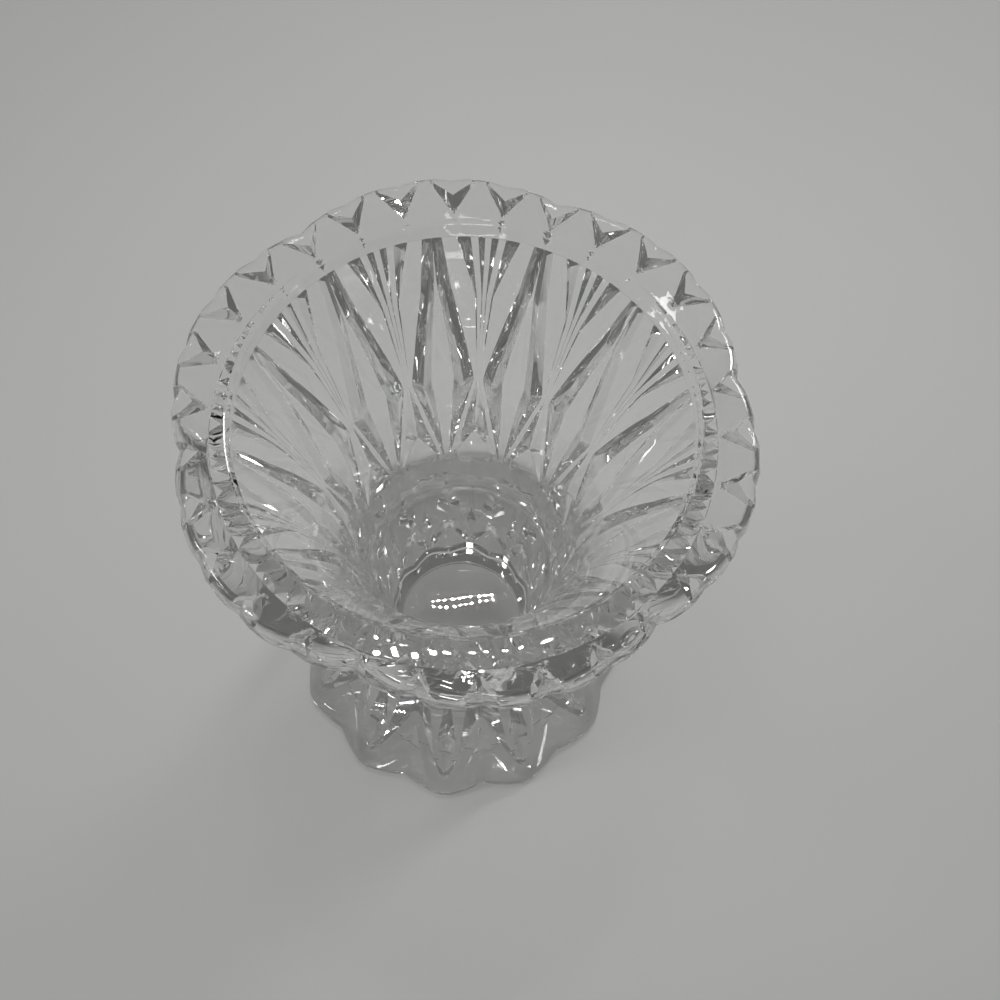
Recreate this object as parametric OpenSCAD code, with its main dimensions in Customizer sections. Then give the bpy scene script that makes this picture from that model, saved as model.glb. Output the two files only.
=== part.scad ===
// Toothpick holder of clear glass: a flared bowl with mitre cuts, a plain waist collar and a ribbed foot.
// Millimetres, +Z up. The origin is the middle of the underside, on the table.

/* [Overall] */
// Height from the table to the top of the rim
height = 64; // [60:1:70]
// Width across the tips of two opposite rim lobes
rim_d = 53.4; // [50:0.2:57]
// Width of the plain waist
waist_d = 29; // [28:0.2:30]
// Width across the points of the foot
foot_d = 43.6; // [40:0.2:47]
// Lobes round the rim, each with two diamonds below it
lobes = 6; // [5:1:7]
// Direction of the first lobe from the x axis, in degrees
first_lobe = 90; // [0:15:90]

/* [Bowl] */
// Width of the bowl at the crease under the rim
crease_d = 46; // [45:0.2:48]
// Height of the rim above the crease
rim_h = 4; // [3.5:0.1:5]
// Height of the upright lip at the outer edge of the rim
lip_h = 1.5; // [1.2:0.1:2]
// Bend of the flared wall, where 1 is a straight cone
flare = 1.95; // [1.7:0.05:2.1]
// Distance of a lobe's centre from the axis, which sets how far the lobes stand out
lobe_shift = 7; // [3:0.2:8]
// Drop of the lip's sloping top at its outer edge
lip_drop = 1; // [0.8:0.1:1.1]
// Width of the slope on top of the lip
slope_w = 1.85; // [1.7:0.05:2.1]

/* [Cavity] */
// Width of the cavity at the top of the rim
mouth_d = 42; // [40:0.2:43]
// Width of the cavity floor
floor_d = 15.4; // [14:0.2:16]
// Thickness of glass under the cavity
floor_t = 7.5; // [6.5:0.1:9]
// Depth of the dish in the cavity floor
floor_dish = 0.45; // [0.2:0.05:0.6]
// Share of the cavity's widening that is an even taper, the rest being its flare near the rim
cavity_taper = 0.55; // [0.45:0.05:0.6]
// Chamfer of the mouth's edge
mouth_chamfer = 0.5; // [0.3:0.1:0.7]

/* [Cuts] */
// Half angle of the mitre cuts
mitre_angle = 47; // [44:1:50]
// Width of a diamond's border at its side corner
border_w = 2.4; // [1.8:0.1:2.5]
// Width of a diamond's border at its top corner
border_top_w = 1.1; // [1:0.1:1.3]
// Width of an outer ray of the fan between two diamonds
fan_w = 1.5; // [1:0.1:1.7]
// Depth of a chevron where its two arms part
chevron_deep = 1.2; // [1:0.05:1.4]
// Share of a tooth's pitch that the notch between two teeth takes up
notch_share = 0.86; // [0.7:0.02:0.9]
// Depth of a notch where it meets the lip
notch_deep = 1.9; // [1.4:0.1:2]
// Depth of a notch at the top of the rim
notch_top = 0.3; // [0.25:0.05:0.4]

/* [Foot] */
// Height of the foot below the waist collar
foot_h = 26; // [23:0.5:27]
// Height of the waist collar
collar_h = 3.5; // [2.5:0.5:4]
// Bend of the flared foot, where 1 is a straight cone
foot_flare = 1.6; // [1.4:0.05:1.8]
// Upright edge of the foot
edge_h = 1.6; // [1.2:0.1:2.2]
// Share of the pitch that the flute between two foot points takes up at the edge
flute_share = 0.86; // [0.7:0.02:0.9]
// Depth of a flute at the edge of the foot
flute_edge_deep = 1.4; // [1:0.1:1.6]
// Depth of a flute halfway up the foot
flute_deep = 2.2; // [1.8:0.1:2.4]
// Width of the leaf cut in each rib between two flutes
leaf_w = 2.4; // [1.8:0.1:2.6]
// Width of the hollow under the foot
recess_d = 27; // [24:0.5:29]
// Depth of the hollow under the foot
recess_t = 0.6; // [0.4:0.1:1]

/* [Hidden] */
$fn = 96;
lift = 0.6;
point_w = 0.16;
diamonds = 2 * lobes;
pitch = 360 / diamonds;
teeth = 5 * lobes;
tooth_pitch = 360 / teeth;
waist_r = waist_d / 2;
crease_r = crease_d / 2;
foot_r = foot_d / 2;
lip_r = rim_d / 2;
lobe_r = lip_r - lobe_shift;
collar_z = foot_h;
bowl_z = foot_h + collar_h;
crease_z = height - rim_h;
lip_z = height - lip_h;
wall_h = crease_z - bowl_z;
corner_z = bowl_z + 0.48 * wall_h;
tip_z = bowl_z + 0.06 * wall_h;
fan_z = bowl_z + 0.81 * wall_h;
notch_z = bowl_z + 0.23 * wall_h;
neck_z = bowl_z + 0.84 * wall_h;
neck_w = (border_w + border_top_w) / 2 - 0.25;

// Radius of the blank at a height, before any cut
function foot_skin(z) = waist_r + (foot_r - waist_r) * pow((foot_h - z) / (foot_h - edge_h), foot_flare);
function wall_skin(z) = waist_r + (crease_r - waist_r) * pow((z - bowl_z) / wall_h, flare);
function rim_skin(z) = crease_r + (lip_r - crease_r) * (z - crease_z) / (lip_z - crease_z);
function skin(z) =
    z <= edge_h ? foot_r :
    z <= foot_h ? foot_skin(z) :
    z <= bowl_z ? waist_r :
    z <= crease_z ? wall_skin(z) :
    z <= lip_z ? rim_skin(z) : lip_r;

// Radius of the cavity at a height
function spread(s) = cavity_taper * s + (1 - cavity_taper) * pow(s, 4);
function cavity_r(z) = (floor_d + (mouth_d - floor_d) * spread((z - floor_t) / (height - floor_t))) / 2;

// Radius of the lobed outline at an angle from a lobe's axis
function lobed(a) = lobe_shift * cos(a) + sqrt(pow(lobe_r, 2) - pow(lobe_shift * sin(a), 2));
function from_lobe(a) = abs(a - round(a * lobes / 360) * 360 / lobes);

// Vee section of a cut at radius r and angle a, w wide on the blank and d deep, open as far as radius out
function turned(x, y, a, z) = [x * cos(a) - y * sin(a), x * sin(a) + y * cos(a), z];
function deep(w) = w / 2 / tan(mitre_angle);
function opening(r, w, d, out) = w / 2 * (out - r + d) / (sqrt(r * r - w * w / 4) - r + d);
function section(r, a, z, w, d, out) = [
    turned(out, -opening(r, w, d, out), a, z),
    turned(out, opening(r, w, d, out), a, z),
    turned(r - d, 0, a, z)
];
function on_skin(a, z, w, d) = section(skin(z), a, z, w, d, skin(z) + lift);

// Path of a cut with more stations on each leg, so that the cut follows the curve of the blank
function along(path, n = 3) = [
    for (i = [0 : len(path) - 2], s = [0 : n - 1]) path[i] + (path[i + 1] - path[i]) * s / n,
    path[len(path) - 1]
];

// Sections along a path of [share of the pitch, height, width]
function on_wall(path) = [for (p = along(path)) on_skin(p[0] * pitch, p[1], p[2], deep(p[2]))];

// Wedge with a vee section that changes from one station to the next, widest outside the glass
module mitre(stations) {
    last = len(stations) - 1;
    points = [for (s = stations) each s];
    sides = [for (i = [0 : last - 1], j = [0 : 2]) let (a = 3 * i + j, b = 3 * i + (j + 1) % 3) each
        [[a, b, a + 3], [b, b + 3, a + 3]]];
    ends = [[2, 1, 0], [3 * last, 3 * last + 1, 3 * last + 2]];
    polyhedron(points, concat(sides, ends));
}

module round_pattern(count, turn = 0) {
    for (k = [0 : count - 1]) {
        rotate([0, 0, first_lobe + turn + k * 360 / count]) children();
    }
}

module mirrored() {
    children();
    mirror([0, 1, 0]) children();
}

module cavity() {
    rotate_extrude() polygon(concat(
        [for (i = [0 : 4]) [(floor_d / 2 - 1) * i / 4, floor_t - floor_dish * (1 - pow(i / 4, 2))]],
        [for (i = [1 : 24]) let (z = floor_t + (height - floor_t) * i / 24) [cavity_r(z), z]],
        [[mouth_d / 2 + mouth_chamfer, height + 0.3], [0, height + 0.3]]
    ));
}

module lobed_block() {
    for (k = [0 : lobes - 1]) {
        rotate([0, 0, first_lobe + k * 360 / lobes]) translate([lobe_shift, 0, 0]) rotate_extrude() polygon([
            [0, bowl_z - 1],
            [lobe_r, bowl_z - 1],
            [lobe_r, height + 1],
            [0, height + 1]
        ]);
    }
}

module bowl_blank() {
    under = (lip_z - crease_z) / (lip_r - crease_r);
    past = (lip_h - lip_drop) / (under + lip_drop / slope_w);
    intersection() {
        rotate_extrude() polygon(concat(
            [[0, bowl_z]],
            [for (i = [0 : 12]) let (z = bowl_z + wall_h * i / 12) [wall_skin(z), z]],
            [[lip_r + past, lip_z + past * under], [lip_r - slope_w, height], [0, height]]
        ));
        lobed_block();
    }
}

module diamond_border() {
    mitre(on_wall([
        [0.04, crease_z - 0.1, border_top_w],
        [0.085, neck_z, neck_w],
        [0.3, corner_z, border_w],
        [0.06, tip_z, point_w]
    ]));
}

// Two facets that meet in a vee, cut back below by the point of the plain land under them
module chevron() {
    notch_w = 2 * skin(notch_z) * sin(0.19 * pitch);
    tip_w = 2 * skin(tip_z) * sin(0.37 * pitch);
    land = skin(tip_z) * sin(0.33 * pitch);
    low_land = land * (notch_z - tip_z + 1) / (notch_z - tip_z);
    path = along([
        [corner_z - 0.2, point_w, 0.08],
        [notch_z, notch_w, chevron_deep],
        [tip_z, tip_w, chevron_deep]
    ]);
    difference() {
        mitre([for (p = path) on_skin(0, p[0], p[1], p[2])]);
        rotate([90, 0, 90]) linear_extrude(lip_r) polygon([
            [0, notch_z],
            [-low_land, tip_z - 1],
            [low_land, tip_z - 1]
        ]);
    }
}

module fan_ray(spread, w) {
    mitre([
        on_skin(spread * pitch, crease_z - 0.1, w, deep(w)),
        on_skin(0.4 * spread * pitch, fan_z, point_w, deep(point_w))
    ]);
}

module rim_notch(a) {
    edge = lobed(from_lobe(a));
    w = notch_share * tooth_pitch * PI / 180 * edge;
    rotate([0, 0, first_lobe + a]) mitre([
        section(edge, 0, height + 0.2, 0.6 * w, notch_top, lip_r + lift),
        section(edge, 0, lip_z + 0.25, 0.6 * w, notch_top, lip_r + lift),
        section(edge, 0, lip_z, w, notch_deep, lip_r + lift),
        on_skin(0, crease_z + 0.2, point_w, 0.1)
    ]);
}

module hollow_bowl() {
    difference() {
        bowl_blank();
        cavity();
    }
}

module bordered_bowl() {
    difference() {
        hollow_bowl();
        round_pattern(diamonds) mirrored() diamond_border();
    }
}

module fanned_bowl() {
    difference() {
        bordered_bowl();
        round_pattern(diamonds, pitch / 2) {
            mirrored() fan_ray(0.06, 0.5 * fan_w);
            mirrored() fan_ray(0.22, fan_w);
        }
    }
}

module chevroned_bowl() {
    difference() {
        fanned_bowl();
        round_pattern(diamonds, pitch / 2) chevron();
    }
}

module bowl() {
    color([0.86, 0.9, 0.9, 0.55]) difference() {
        chevroned_bowl();
        for (k = [0 : teeth - 1]) {
            rim_notch((k + 0.5) * tooth_pitch);
        }
    }
}

module waist_collar() {
    color([0.84, 0.88, 0.9, 0.55]) difference() {
        translate([0, 0, collar_z]) cylinder(h = collar_h, r = waist_r);
        cavity();
    }
}

module foot_blank() {
    rotate_extrude() polygon(concat(
        [[0, 0], [foot_r, 0]],
        [for (i = [0 : 16]) let (z = edge_h + (foot_h - edge_h) * i / 16) [foot_skin(z), z]],
        [[0, foot_h]]
    ));
}

module foot_flute() {
    w = 2 * foot_r * sin(flute_share * pitch / 2);
    path = concat(along([
        [foot_h - 0.8, point_w, 0.1],
        [0.75 * foot_h, 0.38 * w, 0.6 * flute_deep],
        [0.4 * foot_h, 0.62 * w, flute_deep],
        [edge_h, w, flute_edge_deep]
    ]), [[-0.5, w, flute_edge_deep]]);
    mitre([for (p = path) on_skin(0, p[0], p[1], p[2])]);
}

// Cut along the rib over a foot point, pointed at both ends
module foot_leaf() {
    path = along([
        [foot_h - 3, point_w],
        [0.45 * foot_h, leaf_w],
        [edge_h + 1, point_w]
    ]);
    mitre([for (p = path) on_skin(0, p[0], p[1], deep(p[1]))]);
}

module hollow_foot() {
    difference() {
        foot_blank();
        cavity();
        translate([0, 0, -1]) cylinder(h = 1 + recess_t, d = recess_d);
    }
}

module fluted_foot() {
    difference() {
        hollow_foot();
        round_pattern(diamonds) foot_flute();
    }
}

module foot() {
    color([0.82, 0.88, 0.88, 0.55]) difference() {
        fluted_foot();
        round_pattern(diamonds, pitch / 2) foot_leaf();
    }
}

bowl();
waist_collar();
foot();
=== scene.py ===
"""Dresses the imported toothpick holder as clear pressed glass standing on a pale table.

The three glass pieces are lathed from rows of points. In every row the points lie on the edges and in
the bottoms of the cuts, so that each cut stays crisp and each land between two cuts stays smooth.
"""

import logging
import math
from collections.abc import Sequence
from dataclasses import dataclass, field
from enum import IntEnum
from typing import NamedTuple

import bmesh
import bpy
import numpy as np
from mathutils import Matrix, Vector


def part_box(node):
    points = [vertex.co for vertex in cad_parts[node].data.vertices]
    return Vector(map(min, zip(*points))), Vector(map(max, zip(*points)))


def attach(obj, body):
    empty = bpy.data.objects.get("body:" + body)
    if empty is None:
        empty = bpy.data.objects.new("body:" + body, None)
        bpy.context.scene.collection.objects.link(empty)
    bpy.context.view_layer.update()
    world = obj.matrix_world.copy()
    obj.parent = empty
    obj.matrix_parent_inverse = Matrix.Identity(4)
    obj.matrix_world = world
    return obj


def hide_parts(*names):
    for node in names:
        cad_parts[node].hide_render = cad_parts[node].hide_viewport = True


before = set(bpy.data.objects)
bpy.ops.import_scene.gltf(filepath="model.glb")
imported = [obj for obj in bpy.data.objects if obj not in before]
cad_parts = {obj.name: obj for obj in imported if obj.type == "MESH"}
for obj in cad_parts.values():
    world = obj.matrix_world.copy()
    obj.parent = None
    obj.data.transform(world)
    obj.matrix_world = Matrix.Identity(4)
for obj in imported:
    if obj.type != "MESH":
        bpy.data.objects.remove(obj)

LOG = logging.getLogger("toothpick_holder")
MM = 0.001
# An edge that bends by more than this many degrees is shaded sharp
SHARP_ANGLE = 14.0

Row = np.ndarray
Colour = tuple[float, float, float, float]
Place = tuple[float, float, float]


class Face(IntEnum):
    """What a face of a glass piece is, which is also its material index."""

    SKIN = 0
    JOINT = 1


@dataclass(frozen=True)
class PressedGlass:
    """Clear fire-polished glass with the faint waviness that a press mould leaves.

    Each surface lets lamp light pass on to what lies in its shadow, in the share that shadow gives.
    """

    name: str = "pressed_glass"
    tint: Colour = (0.975, 0.982, 0.978, 1.0)
    ior: float = 1.52
    smooth: float = 0.0
    rough: float = 0.02
    ripple_scale: float = 180.0
    ripple_detail: float = 1.5
    ripple_height: float = 0.00002
    haze_scale: float = 60.0
    haze_detail: float = 6.0
    haze_from: float = 0.45
    haze_to: float = 0.8
    shadow: Colour = (0.93, 0.93, 0.93, 1.0)

    def material(self) -> bpy.types.Material:
        """Builds the finish.

        Returns:
            The node material, with its ripple and haze laid out in the object's own space.
        """
        material = bpy.data.materials.new(self.name)
        material.use_nodes = True
        tree = material.node_tree
        shader = tree.nodes["Principled BSDF"]
        shader.inputs["Base Color"].default_value = self.tint
        shader.inputs["IOR"].default_value = self.ior
        shader.inputs["Transmission Weight"].default_value = 1.0
        place = tree.nodes.new("ShaderNodeTexCoord")
        self.add_ripple(tree, place.outputs["Object"])
        self.add_haze(tree, place.outputs["Object"])
        self.pass_lamp_light(tree)
        return material

    def add_ripple(self, tree: bpy.types.NodeTree, place: bpy.types.NodeSocket) -> None:
        """Bends the surface in faint waves.

        Args:
            tree: The node tree of the finish.
            place: The socket that gives a point's place on the object.
        """
        ripple = tree.nodes.new("ShaderNodeTexNoise")
        ripple.inputs["Scale"].default_value = self.ripple_scale
        ripple.inputs["Detail"].default_value = self.ripple_detail
        bump = tree.nodes.new("ShaderNodeBump")
        bump.inputs["Strength"].default_value = 1.0
        bump.inputs["Distance"].default_value = self.ripple_height
        tree.links.new(place, ripple.inputs["Vector"])
        tree.links.new(ripple.outputs["Fac"], bump.inputs["Height"])
        tree.links.new(bump.outputs["Normal"], tree.nodes["Principled BSDF"].inputs["Normal"])

    def add_haze(self, tree: bpy.types.NodeTree, place: bpy.types.NodeSocket) -> None:
        """Dulls the polish a little in patches.

        Args:
            tree: The node tree of the finish.
            place: The socket that gives a point's place on the object.
        """
        haze = tree.nodes.new("ShaderNodeTexNoise")
        haze.inputs["Scale"].default_value = self.haze_scale
        haze.inputs["Detail"].default_value = self.haze_detail
        spread = tree.nodes.new("ShaderNodeMapRange")
        spread.inputs["From Min"].default_value = self.haze_from
        spread.inputs["From Max"].default_value = self.haze_to
        spread.inputs["To Min"].default_value = self.smooth
        spread.inputs["To Max"].default_value = self.rough
        tree.links.new(place, haze.inputs["Vector"])
        tree.links.new(haze.outputs["Fac"], spread.inputs["Value"])
        tree.links.new(spread.outputs["Result"], tree.nodes["Principled BSDF"].inputs["Roughness"])

    def pass_lamp_light(self, tree: bpy.types.NodeTree) -> None:
        """Lets light from the lamps through to what lies in the glass's shadow.

        Args:
            tree: The node tree of the finish.
        """
        path = tree.nodes.new("ShaderNodeLightPath")
        clear = tree.nodes.new("ShaderNodeBsdfTransparent")
        clear.inputs["Color"].default_value = self.shadow
        mix = tree.nodes.new("ShaderNodeMixShader")
        tree.links.new(path.outputs["Is Shadow Ray"], mix.inputs["Fac"])
        tree.links.new(tree.nodes["Principled BSDF"].outputs["BSDF"], mix.inputs[1])
        tree.links.new(clear.outputs["BSDF"], mix.inputs[2])
        tree.links.new(mix.outputs["Shader"], tree.nodes["Material Output"].inputs["Surface"])


@dataclass(frozen=True)
class ThickPressedGlass(PressedGlass):
    """The same glass where it is thick, with a deeper shadow."""

    name: str = "thick_pressed_glass"
    shadow: Colour = (0.8, 0.8, 0.8, 1.0)


@dataclass(frozen=True)
class FusedJoint:
    """The face where two pieces are fused, which light crosses as if it were not there."""

    name: str = "fused_joint"

    def material(self) -> bpy.types.Material:
        """Builds the finish.

        Returns:
            A material with no surface of its own.
        """
        material = bpy.data.materials.new(self.name)
        material.use_nodes = True
        shader = material.node_tree.nodes["Principled BSDF"]
        shader.inputs["Alpha"].default_value = 0.0
        return material


@dataclass(frozen=True)
class TableTop:
    """Pale matt table with a faint mottle."""

    name: str = "pale_table"
    light: Colour = (0.80, 0.80, 0.785, 1.0)
    dark: Colour = (0.76, 0.76, 0.745, 1.0)
    mottle_scale: float = 14.0
    mottle_detail: float = 5.0
    rough: float = 0.6
    gloss: float = 0.2

    def material(self) -> bpy.types.Material:
        """Builds the finish.

        Returns:
            The node material of the table top.
        """
        material = bpy.data.materials.new(self.name)
        material.use_nodes = True
        tree = material.node_tree
        shader = tree.nodes["Principled BSDF"]
        shader.inputs["Roughness"].default_value = self.rough
        shader.inputs["Specular IOR Level"].default_value = self.gloss
        place = tree.nodes.new("ShaderNodeTexCoord")
        mottle = tree.nodes.new("ShaderNodeTexNoise")
        mottle.inputs["Scale"].default_value = self.mottle_scale
        mottle.inputs["Detail"].default_value = self.mottle_detail
        ramp = tree.nodes.new("ShaderNodeValToRGB")
        ramp.color_ramp.elements[0].color = self.dark
        ramp.color_ramp.elements[1].color = self.light
        tree.links.new(place.outputs["Object"], mottle.inputs["Vector"])
        tree.links.new(mottle.outputs["Fac"], ramp.inputs["Fac"])
        tree.links.new(ramp.outputs["Color"], shader.inputs["Base Color"])
        return material


@dataclass
class Blank:
    """The round body before any cut, in mm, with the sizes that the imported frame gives."""

    height: float = 64.0
    lip_r: float = 26.7
    waist_r: float = 14.5
    foot_h: float = 26.0
    collar_h: float = 3.5
    lobes: int = 6
    lobe_shift: float = 7.0
    crease_r: float = 23.0
    rim_h: float = 4.0
    lip_h: float = 1.5
    flare: float = 1.95
    foot_r: float = 21.8
    foot_flare: float = 1.6
    edge_h: float = 1.6
    mouth_r: float = 21.0
    floor_r: float = 7.7
    floor_t: float = 7.5
    floor_dish: float = 0.27
    cavity_taper: float = 0.55
    cavity_flare: float = 4.0
    columns: int = 600

    @classmethod
    def from_frame(cls) -> "Blank":
        """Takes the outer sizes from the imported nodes.

        Returns:
            The blank with its height, rim, waist and joint heights set.
        """
        bowl_low, bowl_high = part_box("bowl")
        collar_low, collar_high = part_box("waist_collar")
        return cls(
            height=bowl_high[2] / MM,
            lip_r=bowl_high[1] / MM,
            waist_r=collar_high[0] / MM,
            foot_h=collar_low[2] / MM,
            collar_h=(bowl_low[2] - collar_low[2]) / MM,
        )

    @property
    def bowl_z(self) -> float:
        """Height of the joint between the waist collar and the bowl."""
        return self.foot_h + self.collar_h

    @property
    def crease_z(self) -> float:
        """Height of the crease under the rim."""
        return self.height - self.rim_h

    @property
    def lip_z(self) -> float:
        """Height of the lower edge of the upright lip."""
        return self.height - self.lip_h

    @property
    def pitch(self) -> float:
        """Angle from one diamond to the next, in radians, with two diamonds to a lobe."""
        return math.pi / self.lobes

    @property
    def even(self) -> np.ndarray:
        """Evenly spaced angles of one row, counted from the first lobe."""
        return np.arange(self.columns) * 2 * math.pi / self.columns

    def wall(self, z: float) -> float:
        """Radius of the bowl's wall at a height."""
        share = (z - self.bowl_z) / (self.crease_z - self.bowl_z)
        return self.waist_r + (self.crease_r - self.waist_r) * share**self.flare

    def foot(self, z: float) -> float:
        """Radius of the foot at a height."""
        share = (self.foot_h - max(z, self.edge_h)) / (self.foot_h - self.edge_h)
        return self.waist_r + (self.foot_r - self.waist_r) * share**self.foot_flare

    def cavity(self, z: float) -> float:
        """Finds the cavity's wall.

        Args:
            z: Height in mm.

        Returns:
            The radius of the cavity in mm.
        """
        share = max(z - self.floor_t, 0.0) / (self.height - self.floor_t)
        spread = self.cavity_taper * share + (1 - self.cavity_taper) * share**self.cavity_flare
        return self.floor_r + (self.mouth_r - self.floor_r) * spread

    def lobed(self, angles: np.ndarray) -> np.ndarray:
        """Finds the edge of the lobed lip.

        Args:
            angles: Angles from the first lobe, in radians.

        Returns:
            The lip's radius in mm at each angle.
        """
        step = 2 * math.pi / self.lobes
        off = angles - np.round(angles / step) * step
        lobe_r = self.lip_r - self.lobe_shift
        across = self.lobe_shift * np.sin(off)
        return self.lobe_shift * np.cos(off) + np.sqrt(lobe_r**2 - across**2)


class Knot(NamedTuple):
    """Where the surface bends at one height, as shares of the pitch, and the depth in mm at each bend."""

    z: float
    shares: list[float]
    depths: list[float]


def value_at(z: float, heights: list[float], values: Sequence[float] | np.ndarray) -> float:
    """Reads a value at a height between the heights for which it is given."""
    return float(np.interp(z, heights, values))


def bends_at(z: float, knots: list[Knot]) -> tuple[list[float], list[float]]:
    """Finds the bends of the surface at a height between two knots.

    Args:
        z: Height in mm.
        knots: Knots in rising order.

    Returns:
        The shares of the pitch where the surface bends, and the depth in mm at each.
    """
    heights = [knot.z for knot in knots]
    shares = np.array([knot.shares for knot in knots]).T
    depths = np.array([knot.depths for knot in knots]).T
    at = [value_at(z, heights, column) for column in shares]
    return at, [value_at(z, heights, column) for column in depths]


def stepped(marks: list[float], step: float, least: int) -> list[float]:
    """Fills in heights between marks.

    Args:
        marks: Heights in mm, all rising or all falling.
        step: Wanted distance in mm between two heights.
        least: Smallest number of steps from one mark to the next.

    Returns:
        The heights from the first mark on, without the last mark.
    """
    heights = []
    for first, last in zip(marks, marks[1:], strict=False):
        count = max(least, round(abs(last - first) / step))
        heights += np.linspace(first, last, count, endpoint=False).tolist()
    return heights


def ring(angles: np.ndarray, radius: np.ndarray | float, z: np.ndarray | float) -> Row:
    """Sets one row of points round the axis, with the first lobe along +Y.

    Args:
        angles: Angles from the first lobe, in radians.
        radius: Radius in mm, one for the row or one for each point.
        z: Height in mm, one for the row or one for each point.

    Returns:
        The points of the row in metres.
    """
    turned = angles + math.pi / 2
    x, y = radius * np.cos(turned), radius * np.sin(turned)
    return np.stack([x, y, np.broadcast_to(z, x.shape)], axis=1) * MM


def pole(z: float) -> Row:
    """Gives a row of one point on the axis at a height in mm."""
    return np.array([[0.0, 0.0, z * MM]])


def vee_columns(
    breaks: list[float], depths: list[float], counts: list[int]
) -> tuple[np.ndarray, np.ndarray]:
    """Spreads the points of half a repeat over its lands and the flanks of its cuts.

    Args:
        breaks: Rising shares of the pitch, from 0 to 0.5, where the surface bends.
        depths: Depth in mm at each break.
        counts: Number of points between each break and the next.

    Returns:
        The share of the pitch and the depth of each point, without the last break.
    """
    shares, deep = [], []
    for i, count in enumerate(counts):
        steps = np.arange(count) / count
        shares.append(breaks[i] + (breaks[i + 1] - breaks[i]) * steps)
        deep.append(depths[i] + (depths[i + 1] - depths[i]) * steps)
    return np.concatenate(shares), np.concatenate(deep)


def whole_round(
    shares: np.ndarray, deep: np.ndarray, last_depth: float, pitch: float
) -> tuple[np.ndarray, np.ndarray]:
    """Mirrors half a repeat and carries it round the axis.

    Args:
        shares: Shares of the pitch in the first half of a repeat.
        deep: Depths in mm in the first half of a repeat.
        last_depth: Depth in mm at half the pitch.
        pitch: Angle of one repeat, in radians.

    Returns:
        The angle and the depth of every point of the row.
    """
    one = np.concatenate([shares, [0.5], 1 - shares[:0:-1]])
    one_deep = np.concatenate([deep, [last_depth], deep[:0:-1]])
    repeats = round(2 * math.pi / pitch)
    angles = (one[None, :] + np.arange(repeats)[:, None]).ravel() * pitch
    return angles, np.tile(one_deep, repeats)


def skin_mesh(
    name: str, rows: list[Row], joints: set[int], closed: bool, finishes: list[bpy.types.Material]
) -> bpy.types.Object:
    """Joins rows of points into one closed glass body.

    Args:
        name: Name of the piece.
        rows: Rows in order along the section; a row of one point closes an end.
        joints: Numbers of the rows that start a fused face.
        closed: Whether the last row joins the first.
        finishes: Materials by face kind.

    Returns:
        The new object, linked to the scene.
    """
    mesh = bpy.data.meshes.new(name)
    starts = np.cumsum([0] + [len(row) for row in rows]).tolist()
    pairs = [(i, i + 1) for i in range(len(rows) - 1)]
    if closed:
        pairs.append((len(rows) - 1, 0))
    faces, kinds = [], []
    for low, high in pairs:
        a, b = starts[low], starts[high]
        count_a, count_b = len(rows[low]), len(rows[high])
        count = max(count_a, count_b)
        for j in range(count):
            k = (j + 1) % count
            if count_a == 1:
                faces.append((a, b + k, b + j))
            elif count_b == 1:
                faces.append((a + j, a + k, b))
            else:
                faces.append((a + j, a + k, b + k, b + j))
        kinds += [Face.JOINT if low in joints else Face.SKIN] * count
    mesh.from_pydata(np.concatenate(rows).tolist(), [], faces)
    mesh.polygons.foreach_set("material_index", np.array(kinds, dtype=np.int32))
    for finish in finishes:
        mesh.materials.append(finish)
    body = bmesh.new()
    body.from_mesh(mesh)
    bmesh.ops.recalc_face_normals(body, faces=body.faces)
    body.to_mesh(mesh)
    body.free()
    mesh.shade_smooth()
    mesh.set_sharp_from_angle(angle=math.radians(SHARP_ANGLE))
    piece = bpy.data.objects.new(name, mesh)
    bpy.context.scene.collection.objects.link(piece)
    return piece


@dataclass
class GlassPiece:
    """One of the glass pieces that are fused into the holder."""

    blank: Blank
    finishes: list[bpy.types.Material]
    node: str = ""

    def dress(self, piece: bpy.types.Object) -> None:
        """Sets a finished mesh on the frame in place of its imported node.

        Args:
            piece: The mesh object of this piece.
        """
        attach(piece, "root")
        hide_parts(self.node)
        LOG.info("%s: %d faces", piece.name, len(piece.data.polygons))

    def cavity_rows(self, heights: np.ndarray) -> list[Row]:
        """Gives the rows of the smooth inner wall at these heights in mm."""
        return [ring(self.blank.even, self.blank.cavity(z), z) for z in heights]


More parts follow.
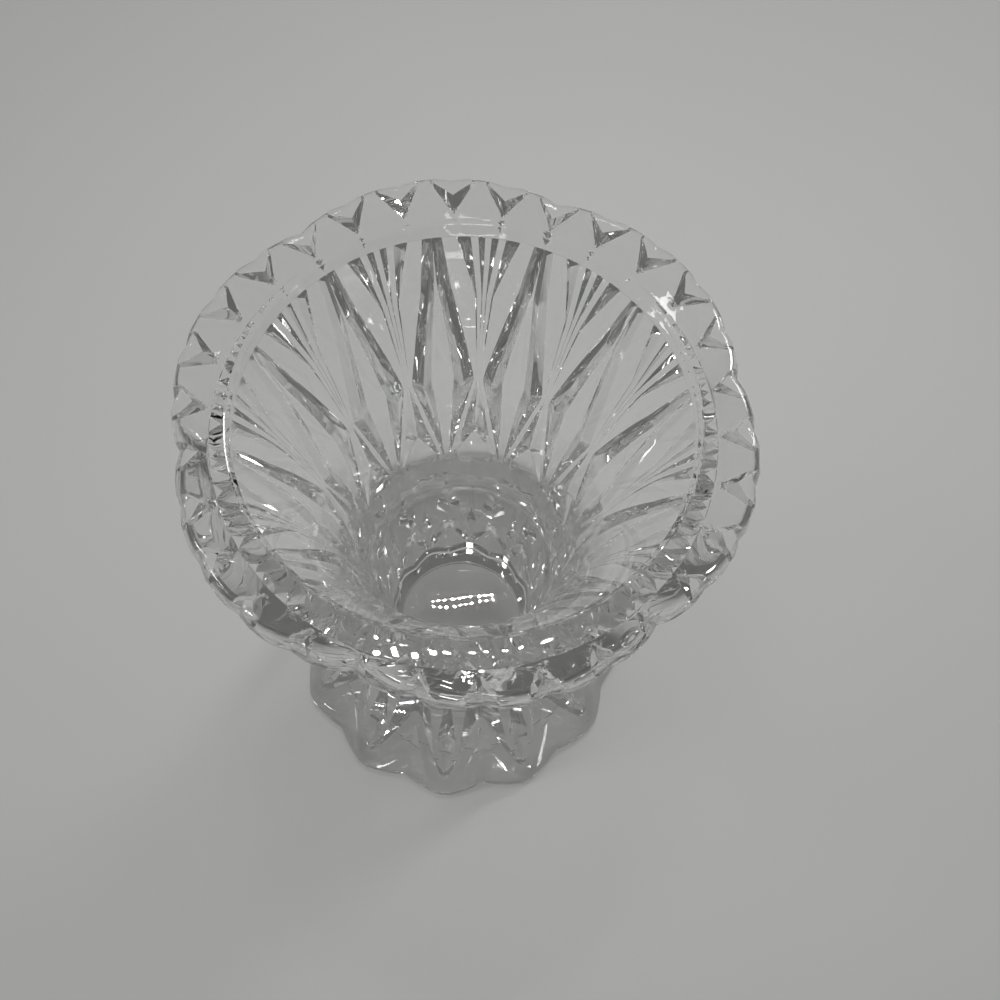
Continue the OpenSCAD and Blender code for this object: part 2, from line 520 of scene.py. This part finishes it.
@dataclass
class Bowl(GlassPiece):
    """The flared bowl with its diamonds, fans and chevrons and its lobed, toothed rim, in mm.

    A field that ends in _at is a share of the wall's height, from the joint to the crease. The border's
    path and where the chevron starts are shares of the pitch from the diamond's axis, and a notch's share
    is one of the tooth pitch. The mitre angle, half the angle of a cut, and the turns are in degrees.
    """

    node: str = "bowl"
    mitre_angle: float = 40.0
    border_path: tuple[float, ...] = (0.06, 0.30, 0.085, 0.04)
    border_w: float = 2.4
    border_top_w: float = 1.1
    neck_w: float = 1.5
    fan_w: float = 1.5
    point_w: float = 0.16
    least_share: float = 0.004
    tip_at: float = 0.06
    chevron_at: float = 0.23
    corner_at: float = 0.48
    fan_at: float = 0.81
    neck_at: float = 0.84
    chevron_from: float = 0.31
    chevron_deep: float = 1.2
    chevron_edge: float = 0.01
    corner_below: float = 0.2
    corner_above: float = 0.3
    crease_below: float = 0.1
    cut_end: float = 0.02
    row_step: float = 0.45
    counts: list[int] = field(default_factory=lambda: [3, 3, 3, 3, 3, 3, 2, 2, 2, 1])
    teeth_per_lobe: int = 5
    tooth_counts: list[int] = field(default_factory=lambda: [2, 8])
    turn_h: float = 0.8
    notch_start: float = 0.2
    notch_share: float = 0.86
    notch_deep: float = 1.9
    notch_close: float = 0.25
    notch_top: float = 0.26
    notch_top_share: float = 0.6
    rim_steps: int = 14
    lip_start: float = 0.2
    lip_round: float = 1.1
    lip_turns: tuple[int, ...] = (11, 22, 33, 44, 55, 66, 77, 90)
    top_shares: tuple[float, ...] = (0.25, 0.5, 0.75)
    mouth_round: float = 0.4
    mouth_turns: tuple[int, ...] = (0, 20, 40, 60)
    inside_steps: int = 64

    @property
    def tooth_pitch(self) -> float:
        """Angle from one tooth of the rim to the next, in radians."""
        return self.blank.pitch * 2 / self.teeth_per_lobe

    def height_at(self, share: float) -> float:
        """Height in mm at a share of the wall, from the joint to the crease."""
        return self.blank.bowl_z + share * (self.blank.crease_z - self.blank.bowl_z)

    def deep(self, width: float) -> float:
        """Depth in mm of a mitre cut of that width."""
        return width / 2 / math.tan(math.radians(self.mitre_angle))

    def marks(self) -> list[float]:
        """Lists the heights at which the cuts change.

        Returns:
            Heights in mm: the joint, the diamond's tip, below and above the chevron's inner corner, below
            and above the diamond's side corner, the fan's foot, and just under the crease.
        """
        chevron, corner = self.height_at(self.chevron_at), self.height_at(self.corner_at)
        return [
            self.height_at(0),
            self.height_at(self.tip_at),
            chevron - self.chevron_edge,
            chevron + self.chevron_edge,
            corner - self.corner_below,
            corner + self.corner_above,
            self.height_at(self.fan_at),
            self.blank.crease_z - self.crease_below,
        ]

    def border(self, z: float) -> tuple[list[float], list[float]]:
        """Lays out one side of a diamond's border.

        Args:
            z: Height in mm.

        Returns:
            Four rising shares of the pitch, from the diamond's axis to the border's far edge, and the
            depth in mm at each.
        """
        heights = [self.height_at(share) for share in (self.tip_at, self.corner_at, self.neck_at, 1.0)]
        centre = value_at(z, heights, self.border_path)
        width = value_at(z, heights, [self.point_w, self.border_w, self.neck_w, self.border_top_w])
        half = math.asin(width / 2 / self.blank.wall(z)) / self.blank.pitch
        deep = self.deep(width) if z >= heights[0] else 0.0
        near = max(centre - half, self.least_share)
        depths = [deep * max(0.0, 1 - (centre - share) / half) for share in (0.0, near)]
        return [0.0, near, centre, centre + half], [*depths, deep, 0.0]

    def fan_and_chevron(self, z: float) -> tuple[list[float], list[float]]:
        """Lays out what lies between two diamonds: two fan rays above and a chevron arm below.

        Args:
            z: Height in mm.

        Returns:
            Seven rising shares of the pitch, up to its middle, and the depth in mm at each.
        """
        bottom, tip, chevron_low, chevron_high, corner_low, corner_high, fan, top = self.marks()
        rising = (tip + self.height_at(self.chevron_at)) / 2
        ray, inner_ray = self.deep(self.fan_w), self.deep(self.fan_w / 2)
        dot, arm = self.deep(self.point_w), self.chevron_deep
        flat = [0.0] * 7
        facet = [self.chevron_from, 0.490, 0.4925, 0.495, 0.4965, 0.498, 0.5]
        slope = [arm * (share - self.chevron_from) / (0.5 - self.chevron_from) for share in facet]
        knots = [
            Knot(bottom, [0.18, 0.22, 0.26, 0.34, 0.38, 0.42, 0.5], flat),
            Knot(tip, [0.13, 0.166, 0.17, 0.30, 0.36, 0.42, 0.5], [0.0, arm * 0.11, *flat[2:]]),
            Knot(rising, [0.22, 0.331, 0.336, 0.40, 0.43, 0.46, 0.5], [0.0, arm * 0.41, *flat[2:]]),
            Knot(chevron_low, [self.chevron_from, 0.487, 0.4935, *facet[3:]], [0.0, arm * 0.93, *flat[2:]]),
            Knot(chevron_high, facet, slope),
            Knot(corner_low, [0.484, 0.487, 0.490, 0.4925, 0.495, 0.4975, 0.5], [d * 0.02 for d in slope]),
            Knot(corner_high, [0.470, 0.475, 0.480, 0.485, 0.490, 0.495, 0.5], flat),
            Knot(fan, [0.4045, 0.412, 0.4195, 0.4722, 0.476, 0.4798, 0.5], [0, dot, 0, 0, dot / 2, 0, 0]),
            Knot(top, [0.2177, 0.28, 0.3423, 0.409, 0.44, 0.471, 0.5], [0, ray, 0, 0, inner_ray, 0, 0]),
        ]
        return bends_at(z, knots)

    def wall_row(self, z: float, cut: bool = True) -> tuple[np.ndarray, np.ndarray]:
        """Lays the points of one row of the wall along its cuts.

        Args:
            z: Height in mm.
            cut: Whether the cuts are sunk at this height.

        Returns:
            The angle and the radius in mm of each point.
        """
        near, near_depths = self.border(z)
        far, far_depths = self.fan_and_chevron(z)
        shares, deep = vee_columns(near + far, near_depths + far_depths, self.counts)
        angles, deep = whole_round(shares, deep, far_depths[-1], self.blank.pitch)
        return angles, self.blank.wall(z) - deep * cut

    def tooth_angles(self, half: float) -> np.ndarray:
        """Lays the points of one row along the teeth of the rim.

        Args:
            half: Half the width of a notch, as a share of the tooth pitch.

        Returns:
            The angle of each point.
        """
        shares, deep = vee_columns([0.0, 0.5 - half, 0.5], [0.0, 0.0, 0.0], self.tooth_counts)
        angles, _ = whole_round(shares, deep, 0.0, self.tooth_pitch)
        return angles

    def rim_row(self, z: float, blend: float, from_angles: np.ndarray) -> tuple[np.ndarray, np.ndarray]:
        """Lays the points of one row of the flared rim and its lip.

        Args:
            z: Height in mm.
            blend: How far the points have moved from the wall's columns, at 0, to the teeth, at 1.
            from_angles: The angles of the wall's columns at the crease.

        Returns:
            The angle and the radius in mm of each point.
        """
        blank = self.blank
        heights = [blank.crease_z + self.notch_start, blank.lip_z, blank.lip_z + self.notch_close]
        widths = [self.least_share, self.notch_share / 2, self.notch_top_share * self.notch_share / 2]
        half = value_at(z, heights, widths)
        depth = value_at(z, heights, [0.0, self.notch_deep, self.notch_top])
        angles = from_angles + (self.tooth_angles(half) - from_angles) * blend
        turns = angles / self.tooth_pitch
        off = np.abs(turns - np.floor(turns) - 0.5)
        sunk = depth * np.clip(1 - off / half, 0, 1)
        share = min((z - blank.crease_z) / (blank.lip_z - blank.crease_z), 1.0)
        return angles, blank.crease_r + (blank.lobed(angles) - blank.crease_r) * share - sunk

    def wall_rows(self) -> tuple[list[Row], np.ndarray]:
        """Gives the rows of the cut wall.

        Returns:
            Rows from the joint up to the crease, where the cuts end, and the angles of the last row.
        """
        marks = self.marks()
        heights = [*stepped(marks, self.row_step, 1), marks[-1]]
        rows = [ring(*self.wall_row(z), z) for z in heights]
        angles, radius = self.wall_row(marks[-1], cut=False)
        rows.append(ring(angles, radius, marks[-1] + self.cut_end))
        return rows, angles

    def rows(self) -> list[Row]:
        """Gives the rows of the whole bowl.

        Returns:
            Rows from the joint up the outside, over the rim and down the inside to the joint.
        """
        blank = self.blank
        rows, angles = self.wall_rows()
        flare = np.linspace(blank.crease_z, blank.lip_z, self.rim_steps)
        for z in [*flare, blank.lip_z + self.lip_start, blank.height - self.lip_round]:
            blend = min(max((z - blank.crease_z) / self.turn_h, 0.0), 1.0)
            rows.append(ring(*self.rim_row(z, blend, angles), z))
        for turn in np.radians(self.lip_turns):
            z = blank.height - self.lip_round * (1 - math.sin(turn))
            tooth_angles, edge = self.rim_row(z, 1.0, angles)
            rows.append(ring(tooth_angles, edge - self.lip_round * (1 - math.cos(turn)), z))
        outer = edge - self.lip_round
        inner = blank.mouth_r + self.mouth_round
        for share in self.top_shares:
            spread = tooth_angles + (blank.even - tooth_angles) * share
            rows.append(ring(spread, outer + (inner - outer) * share, blank.height))
        for turn in np.radians(self.mouth_turns):
            z = blank.height - self.mouth_round * (1 - math.cos(turn))
            rows.append(ring(blank.even, inner - self.mouth_round * math.sin(turn), z))
        inside = np.linspace(blank.height - self.mouth_round, blank.bowl_z, self.inside_steps)
        return rows + self.cavity_rows(inside)

    def build(self) -> bpy.types.Object:
        """Builds and dresses the bowl.

        Returns:
            The bowl's object.
        """
        rows = self.rows()
        piece = skin_mesh("bowl_glass", rows, {len(rows) - 1}, True, self.finishes)
        self.dress(piece)
        return piece


@dataclass
class WaistCollar(GlassPiece):
    """The plain collar at the waist, between the bowl and the foot."""

    node: str = "waist_collar"
    steps: int = 7

    def build(self) -> bpy.types.Object:
        """Builds and dresses the collar.

        Returns:
            The collar's object.
        """
        blank = self.blank
        heights = np.linspace(blank.foot_h, blank.bowl_z, self.steps)
        outside = [ring(blank.even, blank.waist_r, z) for z in heights]
        rows = outside + self.cavity_rows(heights[::-1])
        joints = {self.steps - 1, 2 * self.steps - 1}
        piece = skin_mesh("waist_collar_glass", rows, joints, True, self.finishes)
        self.dress(piece)
        return piece


@dataclass
class Foot(GlassPiece):
    """The flared foot with its points, the cuts between them and the hollow under it, in mm.

    A field that ends in _at is a share of the foot's height, and one that ends in _share is a share of
    the pitch or of the size that it is set against. The mitre angle is half a cut's angle, in degrees.
    """

    node: str = "foot"
    flute_share: float = 0.86
    flute_edge_deep: float = 1.4
    flute_deep: float = 2.2
    flute_deep_at: float = 0.4
    flute_deep_share: float = 0.62
    flute_slim_at: float = 0.75
    flute_slim_share: float = 0.38
    flute_slim_deep_share: float = 0.6
    flute_tip_deep: float = 0.1
    flute_tip_below: float = 0.8
    plain_w: float = 1.6
    point_w: float = 0.16
    leaf_w: float = 2.4
    leaf_wide_at: float = 0.45
    leaf_above_edge: float = 1.0
    leaf_below_joint: float = 3.0
    mitre_angle: float = 47.0
    slant_low: float = 2.2
    slant_high: float = 14.0
    slant_share: float = 0.12
    slant_deep: float = 1.1
    slant_end: float = 1.5
    gap_share: float = 0.003
    counts: list[int] = field(default_factory=lambda: [4, 4, 4, 4, 4, 5])
    row_step: float = 0.4
    least_rows: int = 3
    edge_round: float = 0.3
    edge_turns: tuple[int, ...] = (0, 30, 60, 90)
    rest_shares: tuple[float, ...] = (0.3, 0.65, 1.0)
    recess_r: float = 13.5
    recess_t: float = 0.6
    recess_bevel: float = 0.2
    recess_fillet: float = 0.1
    recess_hub_r: float = 0.5
    floor_hub_r: float = 0.6
    floor_round: float = 1.6
    floor_turns: tuple[int, ...] = (10, 20, 30, 40, 50, 60, 70, 80)
    disc_steps: int = 12
    inside_steps: int = 36

    def marks(self) -> list[float]:
        """Gives the heights in mm at which a flute changes, from the edge up to the joint."""
        top = self.blank.foot_h
        return [
            self.blank.edge_h,
            self.flute_deep_at * top,
            self.flute_slim_at * top,
            top - self.flute_tip_below,
            top,
        ]

    def flute(self, z: float) -> tuple[float, float]:
        """Sizes a flute at a height.

        Args:
            z: Height in mm.

        Returns:
            Half its width as a share of the pitch, and its depth in mm, which is 0 above its tip.
        """
        blank, marks = self.blank, self.marks()
        wide = 2 * blank.foot_r * math.sin(self.flute_share * blank.pitch / 2)
        narrow = [self.flute_deep_share * wide, self.flute_slim_share * wide]
        width = value_at(z, marks, [wide, *narrow, self.point_w, self.plain_w])
        slim_deep = self.flute_slim_deep_share * self.flute_deep
        depths = [self.flute_edge_deep, self.flute_deep, slim_deep, self.flute_tip_deep, 0.0]
        deep = value_at(z, marks, depths) if z < blank.foot_h - self.flute_tip_below else 0.0
        return math.asin(width / 2 / blank.foot(z)) / blank.pitch, deep

    def leaf(self, z: float) -> tuple[float, float]:
        """Sizes the pointed leaf cut in a rib at a height.

        Args:
            z: Height in mm.

        Returns:
            The share of the pitch where it begins, and its depth in mm, which is 0 past its ends.
        """
        blank = self.blank
        low, high = blank.edge_h + self.leaf_above_edge, blank.foot_h - self.leaf_below_joint
        heights = [low, self.leaf_wide_at * blank.foot_h, high]
        width = value_at(z, heights, [self.point_w, self.leaf_w, self.point_w])
        full = width / 2 / math.tan(math.radians(self.mitre_angle))
        deep = full if low < z < high else 0.0
        return 0.5 - math.asin(width / 2 / blank.foot(z)) / blank.pitch, deep

    def slant(self, z: float) -> tuple[float, float]:
        """Places the cut that slants from a point of the foot up to the middle of a flute.

        Args:
            z: Height in mm.

        Returns:
            The share of the pitch where its bottom is, and its depth in mm.
        """
        low, high, end = self.slant_low, self.slant_high, self.slant_end
        centre = value_at(z, [low, high], [0.5, 0.0])
        depths = [0.0, self.slant_deep, self.slant_deep, 0.0]
        return centre, value_at(z, [low, low + end, high - end, high], depths)

    def side_row(self, z: float) -> tuple[np.ndarray, np.ndarray]:
        """Lays the points of one row of the foot's side, along a flute, a leaf cut and a slanting cut.

        Args:
            z: Height in mm.

        Returns:
            The angle and the radius in mm of each point.
        """
        half, flute_deep = self.flute(z)
        start, leaf_deep = self.leaf(z)
        centre, slant_deep = self.slant(z)
        wanted = sorted([half, start, centre - self.slant_share, centre, centre + self.slant_share])
        breaks = [0.0]
        for left, share in zip(range(len(wanted), 0, -1), wanted, strict=True):
            breaks.append(min(max(share, breaks[-1] + self.gap_share), 0.5 - left * self.gap_share))
        at = np.array([*breaks, 0.5])
        depths = flute_deep * np.clip(1 - at / half, 0, 1)
        depths += leaf_deep * np.clip(1 - (0.5 - at) / (0.5 - start), 0, 1)
        depths += slant_deep * np.clip(1 - np.abs(at - centre) / self.slant_share, 0, 1)
        shares, deep = vee_columns(at.tolist(), depths.tolist(), self.counts)
        angles, deep = whole_round(shares, deep, float(depths[-1]), self.blank.pitch)
        return angles, self.blank.foot(z) - deep

    def outer_rows(self) -> list[Row]:
        """Gives the rows of the side and the underside.

        Returns:
            Rows from the joint down the side and under the foot to its middle.
        """
        marks = [*reversed(self.marks()), self.edge_round]
        rows = [ring(*self.side_row(z), z) for z in stepped(marks, self.row_step, self.least_rows)]
        angles, edge = self.side_row(self.edge_round)
        for turn in np.radians(self.edge_turns):
            z = self.edge_round * (1 - math.sin(turn))
            rows.append(ring(angles, edge - self.edge_round * (1 - math.cos(turn)), z))
        for share in self.rest_shares:
            inner = (edge - self.edge_round) * (1 - share) + (self.recess_r + self.recess_bevel) * share
            rows.append(ring(angles, inner, 0.0))
        rows.append(ring(angles, self.recess_r, self.recess_bevel))
        rows.append(ring(angles, self.recess_r, self.recess_t - self.recess_fillet))
        for r in np.linspace(self.recess_r - self.recess_fillet, self.recess_hub_r, self.disc_steps):
            rows.append(ring(self.blank.even, r, self.recess_t))
        rows.append(pole(self.recess_t))
        return rows

    def inner_rows(self) -> list[Row]:
        """Gives the rows of the cavity's lower end.

        Returns:
            Rows from the middle of the cavity's floor up its wall to the joint.
        """
        blank, bend = self.blank, self.floor_round
        rows = [pole(blank.floor_t - blank.floor_dish)]
        floor = blank.cavity(blank.floor_t + bend) - bend
        for r in np.linspace(self.floor_hub_r, floor, self.disc_steps):
            rows.append(ring(blank.even, r, blank.floor_t - blank.floor_dish * (1 - (r / floor) ** 2)))
        for turn in np.radians(self.floor_turns):
            z = blank.floor_t + bend * (1 - math.cos(turn))
            rows.append(ring(blank.even, floor + bend * math.sin(turn), z))
        return rows + self.cavity_rows(np.linspace(blank.floor_t + bend, blank.foot_h, self.inside_steps))

    def build(self) -> bpy.types.Object:
        """Builds and dresses the foot.

        Returns:
            The foot's object.
        """
        inside = self.inner_rows()
        rows = inside + self.outer_rows()
        piece = skin_mesh("foot_glass", rows, {len(inside) - 1}, False, self.finishes)
        self.dress(piece)
        return piece


@dataclass(frozen=True)
class SoftLight:
    """One square light with a narrow spread, which makes a pool on the table; in metres, watts, degrees."""

    name: str
    place: Place
    size: float
    power: float
    aim: Place = (0.02, 0.035, 0.0)
    spread: float = 36.0

    def hang(self) -> None:
        """Hangs the light in the scene, turned towards its aim."""
        light = bpy.data.lights.new(self.name, "AREA")
        light.shape = "SQUARE"
        light.size = self.size
        light.energy = self.power
        light.spread = math.radians(self.spread)
        lamp = bpy.data.objects.new(self.name, light)
        lamp.location = self.place
        along = Vector(self.aim) - Vector(self.place)
        lamp.rotation_euler = along.to_track_quat("-Z", "Y").to_euler()
        bpy.context.scene.collection.objects.link(lamp)


@dataclass
class Studio:
    """The pale table, the lights and the dim room round them, in metres and watts."""

    table_size: float = 3.0
    table_gap: float = 0.00005
    room: Colour = (0.12, 0.12, 0.1176, 1.0)
    lights: list[SoftLight] = field(default_factory=lambda: [
        SoftLight("overhead", (-0.1, -0.45, 1.0), 0.21, 0.038),
        SoftLight("right_soft", (0.7, 0.5, 0.6), 0.18, 0.085),
        SoftLight("left_soft", (-0.7, 0.15, 0.8), 0.18, 0.055),
    ])
    lamps: int = 10
    lamp_middle: Place = (0.0454, 0.273, 0.967)
    lamp_pitch: float = 0.0164
    lamp_rows: int = 2
    lamp_gap: float = 0.019
    lamp_size: float = 0.0045
    lamp_power: float = 0.0033
    sparkle_limit: float = 40.0
    glass_bounces: int = 32
    mirror_bounces: int = 12
    clear_bounces: int = 48

    def build_table(self) -> None:
        """Lays the table top just under the foot."""
        mesh = bpy.data.meshes.new("table_top")
        half = self.table_size / 2
        corners = [(-half, -half, 0), (half, -half, 0), (half, half, 0), (-half, half, 0)]
        mesh.from_pydata(corners, [], [(0, 1, 2, 3)])
        mesh.materials.append(TableTop().material())
        table = bpy.data.objects.new("table_top", mesh)
        table.location.z = -self.table_gap
        bpy.context.scene.collection.objects.link(table)

    def hang_lamp_rows(self) -> None:
        """Hangs the rows of small lamps that sparkle in the cuts and on the cavity's floor."""
        x, y, z = self.lamp_middle
        for row in range(self.lamp_rows):
            row_y = y + (row - (self.lamp_rows - 1) / 2) * self.lamp_gap
            for k in range(self.lamps):
                lamp_x = x + (k - (self.lamps - 1) / 2) * self.lamp_pitch
                SoftLight(f"lamp_{row}_{k}", (lamp_x, row_y, z), self.lamp_size, self.lamp_power).hang()

    def build(self) -> None:
        """Builds the table, the lights and the room, and sets how far light is followed."""
        scene = bpy.context.scene
        self.build_table()
        for light in self.lights:
            light.hang()
        self.hang_lamp_rows()
        world = bpy.data.worlds.new("room")
        world.use_nodes = True
        shade = world.node_tree.nodes["Background"]
        shade.inputs["Color"].default_value = self.room
        scene.world = world
        scene.view_settings.view_transform = "Standard"
        scene.cycles.caustics_refractive = False
        scene.cycles.sample_clamp_indirect = self.sparkle_limit
        scene.cycles.max_bounces = self.glass_bounces
        scene.cycles.transmission_bounces = self.glass_bounces
        scene.cycles.glossy_bounces = self.mirror_bounces
        scene.cycles.transparent_max_bounces = self.clear_bounces


@dataclass
class PhotoCamera:
    """The camera at the photograph's viewing angle; lengths in metres and angles in degrees."""

    place: Place = (-0.00871, -0.04935, 0.1532)
    yaw: float = 14.28
    pitch: float = 65.01
    roll: float = 5.15
    lens_mm: float = 41.4
    sensor_mm: float = 36.0
    nearest: float = 0.005

    def build(self) -> None:
        """Sets the scene's camera."""
        yaw, pitch, roll = (math.radians(angle) for angle in (self.yaw, self.pitch, self.roll))
        level = math.cos(pitch)
        ahead = Vector((math.sin(yaw) * level, math.cos(yaw) * level, -math.sin(pitch)))
        right = Vector((math.cos(yaw), -math.sin(yaw), 0))
        up = right.cross(ahead)
        across = right * math.cos(roll) + up * math.sin(roll)
        upward = up * math.cos(roll) - right * math.sin(roll)
        data = bpy.data.cameras.new("camera")
        data.lens = self.lens_mm
        data.sensor_width = self.sensor_mm
        data.clip_start = self.nearest
        camera = bpy.data.objects.new("camera", data)
        turn = Matrix((across, upward, -ahead)).transposed()
        camera.matrix_world = Matrix.Translation(self.place) @ turn.to_4x4()
        bpy.context.scene.collection.objects.link(camera)
        bpy.context.scene.camera = camera


def main() -> None:
    """Builds the holder, then the camera and the studio."""
    logging.basicConfig(level=logging.INFO, format="%(name)s: %(message)s")
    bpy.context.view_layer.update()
    blank = Blank.from_frame()
    joint = FusedJoint().material()
    thin = [PressedGlass().material(), joint]
    thick = [ThickPressedGlass().material(), joint]
    for part in (Bowl(blank, thin), WaistCollar(blank, thick), Foot(blank, thick)):
        part.build()
    PhotoCamera().build()
    Studio().build()


if __name__ == "__main__":
    main()
